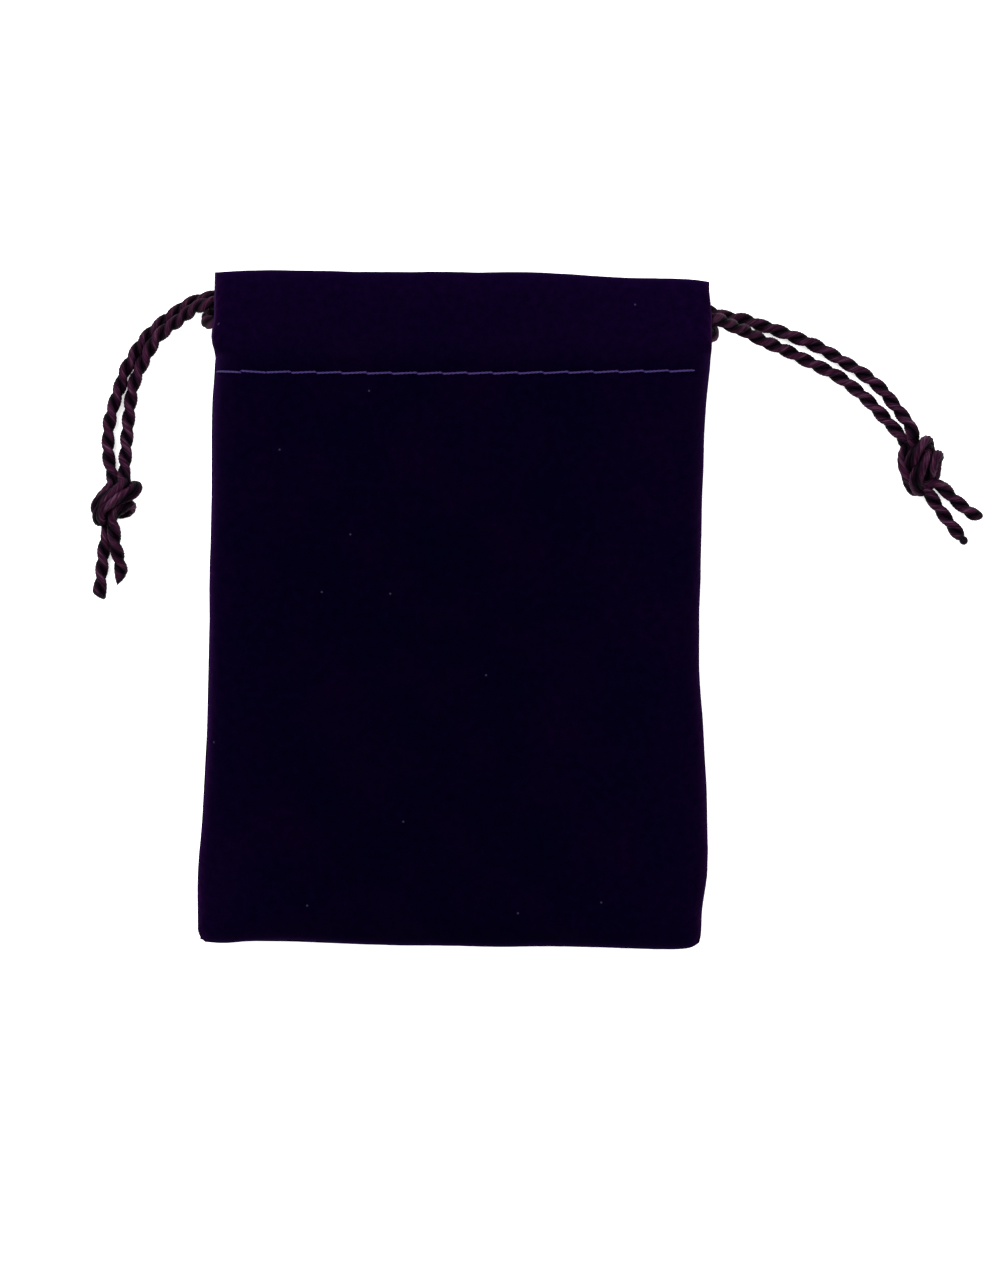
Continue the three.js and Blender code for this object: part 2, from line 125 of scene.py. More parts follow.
def velvet_paint():
    paint = Paint(
        "velvet", Roughness=1, Specular_IOR_Level=0, Sheen_Weight=0.055, Sheen_Roughness=0.35,
        Sheen_Tint=(0.42, 0.16, 1.0, 1),
    )
    cloth = paint.attribute("cloth")
    patches = paint.noise(cloth, 0.09, 3, 0.6)
    nap = paint.noise(cloth, 0.8, 4, 0.7)
    pile = paint.noise(cloth, 9, 2, 0.7)
    body = paint.ramp(patches, [(0.35, (0.0003, 0.0001, 0.0030)), (0.65, (0.0010, 0.0001, 0.0035))])
    # Painted sheen: the velvet is painted a lighter purple where its pile would catch the light.
    colour = paint.mix(paint.share("raised"), body, (0.0020, 0.0003, 0.0069))
    # Painted sheen along the outline, broken into spots, and a painted highlight at the edges of the
    # slits.
    rim = paint.share("rim")
    spots = paint.ramp(nap, [(0.38, grey(0.3)), (0.6, grey(1))])
    rim_sheen = paint.ramp(rim, [(0, grey(0)), (0.5, grey(1))])
    colour = paint.mix(paint.math("MULTIPLY", rim_sheen, spots), colour, (0.0075, 0.0012, 0.0110))
    slit_edge_highlight = paint.ramp(rim, [(0.5, grey(0)), (1, grey(1))])
    colour = paint.mix(slit_edge_highlight, colour, (0.0140, 0.0062, 0.0270))
    mottled = paint.ramp(nap, [(0.28, (0.65, 0.6, 0.66)), (0.5, grey(1)), (0.72, (1.45, 1.5, 1.3))])
    colour = paint.mix(1, colour, mottled, "MULTIPLY")
    grain = paint.ramp(pile, [(0.3, grey(0.8)), (0.7, grey(1.2))])
    colour = paint.mix(1, colour, grain, "MULTIPLY")
    # A few specks of lint, one in each of the chosen cells.
    cells = paint.node("ShaderNodeTexVoronoi", {"Vector": cloth, "Scale": 0.09}, voronoi_dimensions="2D")
    speck = paint.ramp(cells.outputs["Distance"], [(0.005, grey(0.7)), (0.018, grey(0))])
    chosen = paint.math("GREATER_THAN", cells.outputs["Color"], 0.68)
    colour = paint.mix(paint.math("MULTIPLY", speck, chosen), colour, (0.030, 0.024, 0.050))
    paint.drive("Base Color", colour)
    paint.bump(paint.math("ADD", pile, nap), 0.5, 0.12)
    return paint.material


def thread_paint():
    paint = Paint("sewing_thread", Roughness=0.5, Specular_IOR_Level=0.1)
    strand = paint.attribute("strand", (4, 4, 3))
    fibres = paint.noise(strand, 1, 2, 0.6)
    colour = paint.ramp(fibres, [(0.3, (0.016, 0.009, 0.055)), (0.7, (0.038, 0.020, 0.104))])
    paint.drive("Base Color", colour)
    paint.bump(fibres, 0.5, 0.03)
    return paint.material


def satin_paint():
    paint = Paint("satin_cord", Specular_IOR_Level=0.03, Specular_Tint=(1.0, 0.55, 0.9, 1))
    filaments_and_glints = paint.noise(paint.attribute("strand", (2.6, 2.6, 0.45)), 1, 3, 0.7)
    patches = paint.noise(paint.attribute("strand", (0.7, 0.7, 0.9)), 1, 2, 0.5)
    # Fibre tone, with a painted highlight on the brightest filaments.
    colour = paint.ramp(filaments_and_glints, [
        (0.36, (0.0035, 0.0005, 0.0024)),
        (0.52, (0.019, 0.0033, 0.0125)),
        (0.66, (0.052, 0.0230, 0.0400)),
    ])
    shade = paint.ramp(patches, [(0.3, (0.55, 0.5, 0.6)), (0.7, (1.45, 1.5, 1.4))])
    colour = paint.mix(1, colour, shade, "MULTIPLY")
    # Painted shade in the grooves: each ply is darker on the side that faces the other ply.
    groove_shade = paint.ramp(
        paint.share("crest"), [(0.05, (0.05, 0.05, 0.09)), (0.5, (0.5, 0.45, 0.55)), (0.9, grey(1))],
    )
    colour = paint.mix(1, colour, groove_shade, "MULTIPLY")
    melted = paint.share("melted")
    paint.drive("Base Color", paint.mix(melted, colour, (0.003, 0.0022, 0.004)))
    paint.drive("Roughness", paint.math("MULTIPLY_ADD", melted, -0.4, 0.6))
    paint.bump(filaments_and_glints, 0.7, 0.08)
    return paint.material


VELVET = velvet_paint()
THREAD = thread_paint()
SATIN = satin_paint()

# ---- Camera, floor and light ----

VIEW_CENTRE = (6.84, -4.86)
VIEW_HEIGHT = 195.3  # how much of the table the picture shows from bottom to top
BAG_MIDDLE_Z = 6
LENS = 200
SENSOR = 36
FLOOR_SIZE = 60  # metres
FLOOR_Z = -0.05
FLOOR_GLOW = 0.5
SOFTBOX_SIZE = 0.6  # metres, as are the softboxes' places


def make_camera():
    data = bpy.data.cameras.new("camera")
    data.lens = LENS
    data.sensor_width = SENSOR
    camera = bpy.data.objects.new("camera", data)
    away = BAG_MIDDLE_Z + VIEW_HEIGHT * LENS / SENSOR
    camera.location = Vector((*VIEW_CENTRE, away)) * MM
    bpy.context.scene.collection.objects.link(camera)
    bpy.context.scene.camera = camera


def make_floor():
    bpy.ops.mesh.primitive_plane_add(size=FLOOR_SIZE, location=(0, 0, FLOOR_Z * MM))
    floor = bpy.context.object
    floor.name = "floor"
    paint = Paint(
        "pale_floor", Base_Color=(0.93, 0.93, 0.93, 1), Roughness=0.9, Specular_IOR_Level=0.1,
        Emission_Color=(1, 1, 1, 1), Emission_Strength=FLOOR_GLOW,
    )
    floor.data.materials.append(paint.material)


def make_softbox(name, place, watts):
    data = bpy.data.lights.new(name, "AREA")
    data.shape = "SQUARE"
    data.size = SOFTBOX_SIZE
    data.energy = watts
    light = bpy.data.objects.new(name, data)
    light.location = place
    light.rotation_euler = (-Vector(place)).to_track_quat("-Z", "Y").to_euler()
    bpy.context.scene.collection.objects.link(light)


def make_light():
    world = bpy.data.worlds.new("studio")
    world.use_nodes = True
    background = world.node_tree.nodes["Background"]
    background.inputs["Color"].default_value = (1, 1, 1, 1)
    background.inputs["Strength"].default_value = 1
    bpy.context.scene.world = world
    bpy.context.scene.view_settings.view_transform = "Standard"
    make_softbox("key_light", (-0.45, 0.6, 0.8), 16)
    make_softbox("fill_light", (0.7, -0.1, 0.9), 5)


make_camera()
make_floor()
make_light()

# ---- Geometry helpers ----

EASE_SAMPLES = 9
CURVE_SAMPLES = 24  # between two points of a curve, before it is spaced evenly


def new_piece(name, parts, paint, node):
    """One smooth mesh object that stands for a CAD node.

    Its parts are dicts of points, faces and point attributes, and of corner normals where they have any.
    """
    offsets = np.cumsum([0] + [len(part["points"]) for part in parts])
    points = np.concatenate([part["points"] for part in parts]) * MM
    faces = [tuple(face + offset) for part, offset in zip(parts, offsets) for face in part["faces"]]
    mesh = bpy.data.meshes.new(name)
    mesh.from_pydata(points.tolist(), [], faces)
    mesh.polygons.foreach_set("use_smooth", np.ones(len(faces), bool))
    for key in parts[0]["attributes"]:
        values = np.concatenate([part["attributes"][key] for part in parts]).astype(np.float32)
        vector = values.ndim == 2
        attribute = mesh.attributes.new(key, "FLOAT_VECTOR" if vector else "FLOAT", "POINT")
        attribute.data.foreach_set("vector" if vector else "value", values.ravel())
    if "normals" in parts[0]:
        corner_normals = np.concatenate([part["normals"] for part in parts])
        mesh.normals_split_custom_set(corner_normals.tolist())
    mesh.materials.append(paint)
    piece = bpy.data.objects.new(name, mesh)
    bpy.context.scene.collection.objects.link(piece)
    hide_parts(node)
    return piece


def unit(vectors):
    return vectors / np.maximum(np.linalg.norm(vectors, axis=-1, keepdims=True), 1e-9)


def eased(stops, t, reach):
    """Value at t of a broken line of (key, value) stops, with its corners rounded over that reach."""
    keys, values = np.array(stops, float).T
    near = [np.asarray(t, float) + offset for offset in np.linspace(-reach, reach, EASE_SAMPLES)]
    return np.mean([np.interp(places, keys, values) for places in near], axis=0)


def smoothstep(t, low, high):
    share = np.clip((np.asarray(t, float) - low) / (high - low), 0, 1)
    return share * share * (3 - 2 * share)


def lengths_along(line):
    return np.concatenate([[0], np.cumsum(np.linalg.norm(np.diff(line, axis=0), axis=1))])


def between(a, b, start, end, t):
    """Point a at t = start, point b at t = end, and a straight line through them."""
    return ((end - t) * a + (t - start) * b) / (end - start)


def curve_through(points, step, tips):
    """Points on a centripetal Catmull-Rom curve, and how far along it each given point lies.

    They are evenly spaced, with more at the given distances from both tips.
    """
    p = np.array(points, float)
    p = np.vstack([2 * p[0] - p[1], p, 2 * p[-1] - p[-2]])
    knots = np.concatenate([[0], np.cumsum(np.linalg.norm(np.diff(p, axis=0), axis=1) ** 0.5)])
    fine = []
    counts = [0]
    for i in range(1, len(p) - 2):
        t = np.linspace(knots[i], knots[i + 1], CURVE_SAMPLES, endpoint=False)[:, None]
        k = knots[i - 1 : i + 3]
        a = [between(p[i - 1 + n], p[i + n], k[n], k[n + 1], t) for n in range(3)]
        b = [between(a[n], a[n + 1], k[n], k[n + 2], t) for n in range(2)]
        fine.append(between(*b, k[1], k[2], t))
        counts.append(counts[-1] + len(t))
    fine = np.vstack([*fine, p[-2:-1]])
    along = lengths_along(fine)
    length = along[-1]
    even = np.linspace(0, length, max(2, math.ceil(length / step) + 1))
    near_tips = np.concatenate([np.array(tips, float), length - np.array(tips, float)])
    places = np.unique(np.concatenate([even, near_tips]))
    line = np.stack([np.interp(places, along, fine[:, axis]) for axis in range(3)], axis=1)
    return line, along[counts]


def carried_frames(line):
    """Two directions across the line at each point, carried along it without twisting.

    The first of them starts as near to straight up as it can.
    """
    tangents = unit(np.gradient(line, axis=0))
    across = [unit(np.array([0, 0, 1]) - tangents[0][2] * tangents[0])]
    for tangent in tangents[1:]:
        last = across[-1]
        across.append(unit(last - np.dot(last, tangent) * tangent))
    across = np.array(across)
    return across, np.cross(tangents, across)


# ---- Twisted cords and threads ----

PLY_SIDES = 32
FILAMENTS = 7
FILAMENT_RELIEF = 0.06
FILAMENT_TWIST = 0.5  # radians per millimetre, against the twist of the plies

# A ply's cross-section in a cord of radius 1: how far its centre lies from the cord's middle, and how far
# it reaches from there outwards, inwards and sideways.
PLY_CENTRE = 0.42
PLY_OUTWARD = 0.65
PLY_INWARD = 0.45
PLY_SIDEWAYS = 0.75
PLY_SQUARENESS = 3  # of its inner side, which is pressed against the other ply; 2 would be round
STRAND_SHIFT = 3  # sets the second ply's fibres apart from the first's


def ply_section(around):
    cos = np.cos(around)
    sin = np.sin(around)
    inner = -PLY_INWARD * (1 - np.abs(sin) ** PLY_SQUARENESS) ** (1 / PLY_SQUARENESS)
    return PLY_CENTRE + np.where(cos > 0, PLY_OUTWARD * cos, inner), PLY_SIDEWAYS * sin


def twisted_plies(line, radius, pitch, size, up, height, sides=PLY_SIDES):
    """Two plies twisted round a line as [ply, ring, side, xyz], with two of their attributes.

    They are pressed along the up direction to a share of their height. The strand is where a point lies
    in its ply, for the fibres, and the crest how far outside it lies.
    """
    across, beside = carried_frames(line)
    along = lengths_along(line)
    turn = -2 * math.pi * np.concatenate([[0], np.cumsum(np.diff(along) / pitch[1:])])
    around = np.linspace(0, 2 * math.pi, sides, endpoint=False)
    deep, wide = ply_section(around)
    spun = around[None, :] + FILAMENT_TWIST * along[:, None]
    relief = 1 + FILAMENT_RELIEF * np.cos(FILAMENTS * spun)
    plies = []
    strands = []
    for start in (0, math.pi):
        angle = (turn + start)[:, None]
        outward = np.cos(angle) * across + np.sin(angle) * beside
        sideways = -np.sin(angle) * across + np.cos(angle) * beside
        offset = outward[:, None, :] * (deep * relief)[..., None]
        offset = offset + sideways[:, None, :] * (wide * relief)[..., None]
        offset = offset * (radius * size)[:, None, None]
        upward = (offset * up[:, None, :]).sum(-1, keepdims=True) * up[:, None, :]
        offset = offset - upward * (1 - height)[:, None, None]
        plies.append(line[:, None, :] + offset)
        places = np.broadcast_arrays(np.cos(spun), np.sin(spun) + STRAND_SHIFT * start, along[:, None])
        strands.append(np.stack(places, axis=-1))
    crest = np.tile(np.cos(around), (len(line), 1))
    return np.array(plies), np.array(strands), crest


def closed_tube(rings, attributes, bulge=(0, 0)):
    """A closed tube from rings of points, with ends that may bulge."""
    count, sides = rings.shape[:2]
    number = np.arange(count * sides).reshape(count, sides)
    following = np.roll(number, -1, axis=1)
    faces = np.stack([number[:-1], following[:-1], following[1:], number[1:]], axis=-1).reshape(-1, 4)
    ends = np.array([rings[0].mean(0), rings[-1].mean(0)])
    ends[0] += unit(ends[0] - rings[1].mean(0)) * bulge[0]
    ends[1] += unit(ends[1] - rings[-2].mean(0)) * bulge[1]
    caps = [np.array([a, count * sides, b]) for a, b in zip(number[0], following[0])]
    caps += [np.array([b, count * sides + 1, a]) for a, b in zip(number[-1], following[-1])]
    values = {}
    for key, value in attributes.items():
        flat = value.reshape(count * sides, *value.shape[2:])
        values[key] = np.concatenate([flat, value[[0, -1]].mean(1)])
    return {
        "points": np.concatenate([rings.reshape(-1, 3), ends]),
        "faces": [*faces, *caps],
        "attributes": values,
    }


# ---- Drawstrings ----

# The routes are those of the CAD solids, from slit to knot and from knot to tip. Where a point has no Z,
# the cord lies on the table.
CORD_D = 1.95
CORD_REST_Z = 1.05
FRONT_LEFT_Z = 9.5
BACK_LEFT_Z = 2.5
FRONT_RIGHT_Z = 10.7
BACK_RIGHT_Z = 1.3

LEFT_RUN = [
    (-36.5, 46.6, FRONT_LEFT_Z), (-34, 46.2, FRONT_LEFT_Z), (-29, 44.4, FRONT_LEFT_Z),
    (-24, 42.5, FRONT_LEFT_Z), (-19, 42, FRONT_LEFT_Z), (0, 42, FRONT_LEFT_Z), (20, 42, FRONT_LEFT_Z),
    (35, 41.8, FRONT_LEFT_Z), (38.2, 41.7, 9.4), (39.3, 41.7, 8.2), (39.5, 42.1, 6), (39.3, 42.6, 3.7),
    (38.2, 42.7, 2.6), (35, 42.5, BACK_LEFT_Z), (20, 42, BACK_LEFT_Z), (0, 42, BACK_LEFT_Z),
    (-19, 42, BACK_LEFT_Z), (-24, 42.7, BACK_LEFT_Z), (-29, 45, BACK_LEFT_Z), (-34, 47.1, BACK_LEFT_Z),
    (-36.4, 47.8, BACK_LEFT_Z),
]
RIGHT_RUN = [
    (38.5, 44.2, FRONT_RIGHT_Z), (34, 44.2, FRONT_RIGHT_Z), (20, 44.3, FRONT_RIGHT_Z),
    (0, 44.3, FRONT_RIGHT_Z), (-20, 44.3, FRONT_RIGHT_Z), (-34, 43.8, FRONT_RIGHT_Z),
    (-36.8, 43.6, 10.4), (-37.7, 43.7, 9.2), (-37.9, 44.3, 6.5), (-37.7, 45.3, 3.6), (-36.8, 45.8, 1.8),
    (-34, 45.5, BACK_RIGHT_Z), (-20, 44.3, BACK_RIGHT_Z), (0, 44.3, BACK_RIGHT_Z),
    (20, 44.3, BACK_RIGHT_Z), (34, 45.1, BACK_RIGHT_Z), (38.5, 45.7, BACK_RIGHT_Z),
]
LEFT_FRONT_TAIL = [
    (-37, 46.5, 9.3), (-38.6, 46.2, 8.1), (-40.1, 45.5, 6.4), (-41.8, 44.3, 4.7), (-43.6, 43.1, 3.3),
    (-45.4, 41.6, 2.8), (-46.9, 39.2, 2.2), (-48.1, 36.9, 1.7), (-49.1, 34.4, 1.35), (-49.6, 31.7),
    (-50, 28), (-50.3, 24.3, 1.4), (-50.5, 20.4, 2.7),
]
LEFT_BACK_TAIL = [
    (-37, 47.8, 2.4), (-38.7, 47.5, 1.9), (-40.7, 46.8, 1.3), (-42.4, 45.7), (-44.2, 44.4), (-46.1, 42.8),
    (-47.8, 40.9), (-49.4, 38.4), (-50.5, 36.4), (-51.25, 34), (-52.05, 31.7), (-52.8, 28.7), (-53, 25.9),
    (-52.9, 23.3, 1.1), (-52.3, 20.4, 1.3),
]
RIGHT_FRONT_TAIL = [
    (39.2, 44.2, 10.5), (40.5, 43.9, 9.4), (42.3, 43.1, 7.3), (44.4, 42.4, 5.2), (46.6, 41.3, 3.5),
    (48.8, 40.4, 2.2), (51.2, 39.4, 1.4), (53.4, 38.3), (55.9, 37.1), (58.4, 35.8), (60.6, 34.2),
    (62.5, 32.6), (64.2, 30.9), (65.9, 29, 1.2), (67.6, 27.1, 1.7), (68.3, 26.1, 2),
]
RIGHT_BACK_TAIL = [
    (39.2, 45.5, 1.3), (41.6, 44.8), (44.1, 44.4), (46.6, 43.6), (49.1, 42.8), (51.5, 41.9), (54.1, 40.9),
    (56.5, 39.7), (59, 38.2), (61.5, 36.7), (63.4, 35.3), (65.4, 33.5), (67, 31.4, 1.2), (68.6, 29.2, 2.2),
    (69.7, 27.1, 3.6),
]
LEFT_ENDS = {
    "end_1": [(-53, 12.4, 1.3), (-53.5, 10.2), (-53.85, 7.5), (-54.1, 4.8), (-54.4, 2.1)],
    "end_2": [(-52.05, 12.4, 3), (-51.85, 10.8, 2.8), (-51.6, 9.2, 2.3), (-51.2, 7.6, 1.5), (-51, 6),
              (-51, 4.5)],
}
RIGHT_ENDS = {
    "end_1": [(74.5, 18.65, 1.9), (75.8, 17.4, 1.3), (77.5, 15.9), (79, 14.8), (80.5, 14.4)],
    "end_2": [(72.45, 17.7, 1.4), (73.4, 16.25), (74.6, 14.6), (75.9, 12.9), (77.4, 11)],
}
# The ways the two cords take through their knot, from the tail to the end.
LEFT_KNOT = {
    "front": [
        (-50.4, 19.3, 3.3), (-51.6, 18.3, 4), (-53.1, 17.3, 4.2), (-54.3, 16.3, 3.5), (-54.5, 15.3, 2.4),
        (-53.4, 15.3, 1.8), (-51.9, 16, 2.2), (-50.3, 17.3, 2.2), (-49.5, 18.8, 1.6), (-48.7, 18.9, 2.6),
        (-49.2, 18, 3.8), (-50.6, 17.3, 4.4), (-52.2, 16.4, 4.5), (-53.6, 15.7, 4.1), (-54.3, 14.6, 3.2),
        (-54.1, 13.7, 1.9), (-53.3, 14.1, 1), (-53.1, 13.2, 1.1),
    ],
    "back": [
        (-52.1, 19.2, 2.2), (-52.9, 18.1, 3), (-53.9, 17.2, 2.9), (-54.3, 16.2, 2), (-53.8, 15.3, 1.1),
        (-52.5, 15, 1), (-51.1, 15, 1), (-50, 15.4, 1.2), (-49.6, 16.2, 2), (-49.9, 16.5, 3.1),
        (-50.9, 15.7, 3.4), (-51.9, 14.8, 3), (-52.3, 13.6, 2.9),
    ],
}
RIGHT_KNOT = {
    "front": [
        (69, 25, 2.2), (68.5, 23.6, 2.6), (68.4, 22, 2.8), (68.8, 20.6, 2.6), (69.4, 19.3, 2.2),
        (70.3, 18.4, 1.4), (71.4, 19.6, 0.95), (72.3, 21.4, 0.95), (72.7, 23.2, 1), (72.4, 24.8, 1.7),
        (71.9, 25.7, 2.9), (70.8, 25, 4), (69.9, 23.6, 4.2), (69.4, 22.2, 3.4), (69.9, 20.9, 2.3),
        (70.8, 19.9, 2), (71.5, 18.9, 1.7),
    ],
    "back": [
        (69.9, 25.9, 3), (70.7, 24.5, 2.5), (71.8, 23.6, 3.1), (71.3, 22.6, 4.2), (70.6, 21.2, 4.4),
        (70.2, 19.8, 4), (70.6, 18.6, 2.7), (71.6, 18.7, 1.2), (72.8, 20.2, 1), (73.4, 22, 1.1),
        (73.7, 23.3, 1.9), (73.2, 23.4, 3.2), (72.6, 22.3, 3.6), (72.2, 20.9, 2.6), (71.4, 20.3, 1.9),
        (72, 19.6, 1.9), (73.1, 19.5, 2),
    ],
}

# How the cord lies in each kind of stretch: the length of one turn of its twist, its size, and how high
# it is as a share of a round cord's height.
STRETCHES = {
    "knot": {"pitch": 15, "size": 1, "height": 1},
    "tail": {"pitch": 5.8, "size": 0.97, "height": 1},
    "run": {"pitch": 5.8, "size": 1, "height": 0.6},
}
CORD_STEP = 0.25
EASE_REACH = 1.6  # over which one stretch turns into the next
CUT_MARGIN = 0.01
TIP_RINGS = [0.04, 0.12]
UNEVENNESS = 0.06
WANDER_LENGTH = 2.3

# How each end is cut: its width at the tip, the slant of the cut and whether a bead of melt hangs on.
TIPS = {
    ("left", "end_1"): {"width": 1.3, "slant": 0.4, "bead": False},
    ("left", "end_2"): {"width": 0.95, "slant": -1, "bead": False},
    ("right", "end_1"): {"width": 0.45, "slant": 0, "bead": False},
    ("right", "end_2"): {"width": 0.8, "slant": 0, "bead": True},
}
TIP_LENGTH = 1.8
TIP_AREA = 0.75  # share of the cross-section at the very tip, and 1 more per millimetre until it is whole
TIP_BULGE = 0.12
MELT_START = 0.9
MELT_FULL = 0.2
BEAD_RADIUS = 0.68
BEAD_OFFSET = 0.55  # how far its centre lies past the tip, in radii
BEAD_RINGS = 11
BEAD_BULGE = 0.03

DRAWSTRINGS = {
    "left": {
        "run": LEFT_RUN, "front": LEFT_FRONT_TAIL, "back": LEFT_BACK_TAIL, "knot": LEFT_KNOT,
        "ends": LEFT_ENDS, "front_end": "end_1", "back_end": "end_2",
    },
    "right": {
        "run": RIGHT_RUN, "front": RIGHT_FRONT_TAIL, "back": RIGHT_BACK_TAIL, "knot": RIGHT_KNOT,
        "ends": RIGHT_ENDS, "front_end": "end_2", "back_end": "end_1",
    },
}


def string_stretches(string):
    """The whole drawstring from tip to tip, as a list of (piece, kind of stretch, points)."""
    return [
        (string["front_end"], "tail", string["ends"][string["front_end"]][::-1]),
        ("knot", "knot", string["knot"]["front"][::-1]),
        ("front_tail", "tail", string["front"][::-1]),
        ("run", "run", string["run"]),
        ("back_tail", "tail", string["back"]),
        ("knot", "knot", string["knot"]["back"]),
        (string["back_end"], "tail", string["ends"][string["back_end"]]),
    ]


def bead(tip, direction):
    """A small drop of melted cord on a tip."""
    centre = tip + direction * BEAD_RADIUS * BEAD_OFFSET
    angles = np.linspace(0, math.pi, BEAD_RINGS + 2)[1:-1]
    around = np.linspace(0, 2 * math.pi, PLY_SIDES, endpoint=False)
    side = unit(np.cross(direction, [0, 0, 1]))
    up = np.cross(side, direction)
    circle = np.cos(around)[:, None] * side + np.sin(around)[:, None] * up
    rings = np.array([
        centre - direction * BEAD_RADIUS * math.cos(angle) + circle * BEAD_RADIUS * math.sin(angle)
        for angle in angles
    ])
    ones = np.ones(rings.shape[:2])
    attributes = {"strand": rings - centre, "crest": ones, "melted": ones}
    return closed_tube(rings, attributes, (BEAD_BULGE, BEAD_BULGE))


def string_line(stretches):
    """The drawstring's line, how far along it each point lies, and where each stretch starts and ends."""
    given = [point for _, _, stretch_points in stretches for point in stretch_points]
    points = [(*point, CORD_REST_Z)[:3] for point in given]
    line, places = curve_through(points, CORD_STEP, TIP_RINGS)
    along = lengths_along(line)
    counts = np.cumsum([len(stretch_points) for _, _, stretch_points in stretches])
    cuts = [0.0, *[(places[count - 1] + places[count]) / 2 for count in counts[:-1]], along[-1]]
    return line, along, cuts


def along_stretches(key, stretches, cuts, along):
    """A property of STRETCHES at each point along the drawstring, with soft changes."""
    stops = []
    for (_, kind, _), start, end in zip(stretches, cuts[:-1], cuts[1:]):
        value = STRETCHES[kind][key]
        stops += [(start + CUT_MARGIN, value), (end - CUT_MARGIN, value)]
    return eased(stops, along, EASE_REACH)


def shaped_tips(side_name, along):
    """What the cut ends do to the cord's size along it, and the slant of its cross-sections."""
    string = DRAWSTRINGS[side_name]
    size = np.ones(len(along))
    slant = np.zeros(len(along))
    for end_name, to_tip, way in (
        (string["front_end"], along, 1), (string["back_end"], along[-1] - along, -1),
    ):
        tip = TIPS[side_name, end_name]
        size *= 1 + (tip["width"] - 1) * np.clip(1 - to_tip / TIP_LENGTH, 0, 1) ** 2
        size *= np.sqrt(np.clip(TIP_AREA + to_tip, 0, 1))
        slant += way * tip["slant"] * smoothstep(to_tip, TIP_LENGTH, 0)
    return size, slant


def string_plies(side_name, stretches, line, along, cuts):
    """The drawstring's two plies as [ply, ring, side, xyz], and their attributes."""
    wander = np.array([noise.noise(Vector((s / WANDER_LENGTH, len(side_name), 0))) for s in along])
    tip_size, slant = shaped_tips(side_name, along)
    size = along_stretches("size", stretches, cuts, along) * (1 + UNEVENNESS * wander) * tip_size
    pitch = along_stretches("pitch", stretches, cuts, along)
    height = along_stretches("height", stretches, cuts, along)
    tangents = unit(np.gradient(line, axis=0))
    up = unit(np.cross(tangents, [0, 1, 0]))
    plies, strands, crest = twisted_plies(line, CORD_D / 2, pitch, size, up, height)
    across = (plies - line[None, :, None, :])[..., :1]
    plies = plies - tangents[None, :, None, :] * across * slant[None, :, None, None]
    to_tip = np.minimum(along, along[-1] - along)
    melted = np.repeat(smoothstep(to_tip, MELT_START, MELT_FULL)[:, None], PLY_SIDES, axis=1)
    return plies, strands, crest, melted


def string_tubes(side_name):
    """The drawstring's closed tubes and paths by piece: two plies in each, and the bead on its end."""
    string = DRAWSTRINGS[side_name]
    stretches = string_stretches(string)
    line, along, cuts = string_line(stretches)
    plies, strands, crest, melted = string_plies(side_name, stretches, line, along, cuts)
    tubes = {}
    paths = {}
    last = len(line) - 1
    marks = [*np.searchsorted(along, cuts[:-1]), last]
    for (piece_name, _, _), start, end in zip(stretches, marks[:-1], marks[1:]):
        part = slice(start, end + 1)
        bulge = (TIP_BULGE if start == 0 else 0, TIP_BULGE if end == last else 0)
        for ply in range(2):
            attributes = {"strand": strands[ply, part], "crest": crest[part], "melted": melted[part]}
            tubes.setdefault(piece_name, []).append(closed_tube(plies[ply, part], attributes, bulge))
        paths[piece_name] = line[part]
    for end_name, tip, inside in (
        (string["front_end"], line[0], line[1]), (string["back_end"], line[-1], line[-2]),
    ):
        if TIPS[side_name, end_name]["bead"]:
            tubes[end_name].append(bead(tip, unit(tip - inside)))
    return tubes, paths


def make_drawstring(side_name):
    body = f"{side_name}_string"
    tubes, paths = string_tubes(side_name)
    made = {}
    for piece_name, parts in tubes.items():
        node = f"{body}_{piece_name}"
        made[piece_name] = new_piece(f"{node}_cord", parts, SATIN, node)
        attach(made[piece_name], body)


for side_name in DRAWSTRINGS:
    make_drawstring(side_name)

# ---- Velvet panels ----

CLOTH = 0.6  # the velvet's thickness
TOP_Y = 51.5
BOTTOM_Y = -50.2
STITCH_Y = 36
HEM_Y = 32
SLIT_LOW_Y = 37.3
SLIT_HIGH_Y = 40.6
CHANNEL = 2.6
EDGE_RADIUS = 5
SEAM_Z = 3.8
SEAM_GAP = 0.15
ALLOWANCE = 5
SLIT_INSET = 1.5  # of the hem from the outline, at the slits
HEM_INSET = 4.5  # and below them, where the seam allowance lies beside it
HEM_FLAT_Y = 46.5  # below this the hem has no pleats, which leaves room for the cords
FOLD_RADIUS = (2 * CLOTH + CHANNEL) / 2

# The outline: X by Y at the sides, and Y by X at the bottom and the top.
LEFT = [
    (-51.6, -36), (-50.2, -38.3), (-49.2, -39.1), (-41, -39.1), (-36.5, -38.95), (-31.9, -38.55),
    (-18, -37.8), (0, -37.4), (9, -37.3), (18, -37.1), (27.4, -37.1), (32, -37), (35.7, -36.7),
    (39.5, -36.5), (41.3, -36.9), (42.3, -36.8), (44, -36.4), (51.5, -36.3),
]
RIGHT = [
    (-51.6, 36.4), (-50.2, 37.3), (-49.2, 37.5), (-45.6, 37.6), (-41, 38.4), (-36.5, 38.5),
    (-27.4, 38.35), (-18, 37.8), (-9, 37.15), (0, 37.15), (9, 37.3), (18, 37.5), (27.4, 38), (32, 38.3),
    (38, 38.95), (46.3, 38.85), (50.1, 38.45),
]
BOTTOM = [
    (-38.5, -50.35), (-35.3, -50.6), (-31, -50.35), (-25, -50.4), (-13, -50.9), (12.5, -51.05),
    (23.6, -51.2), (31, -51.5), (34.6, -51.55), (36.2, -51.35), (37.3, -50.6), (38.2, -49.6),
]
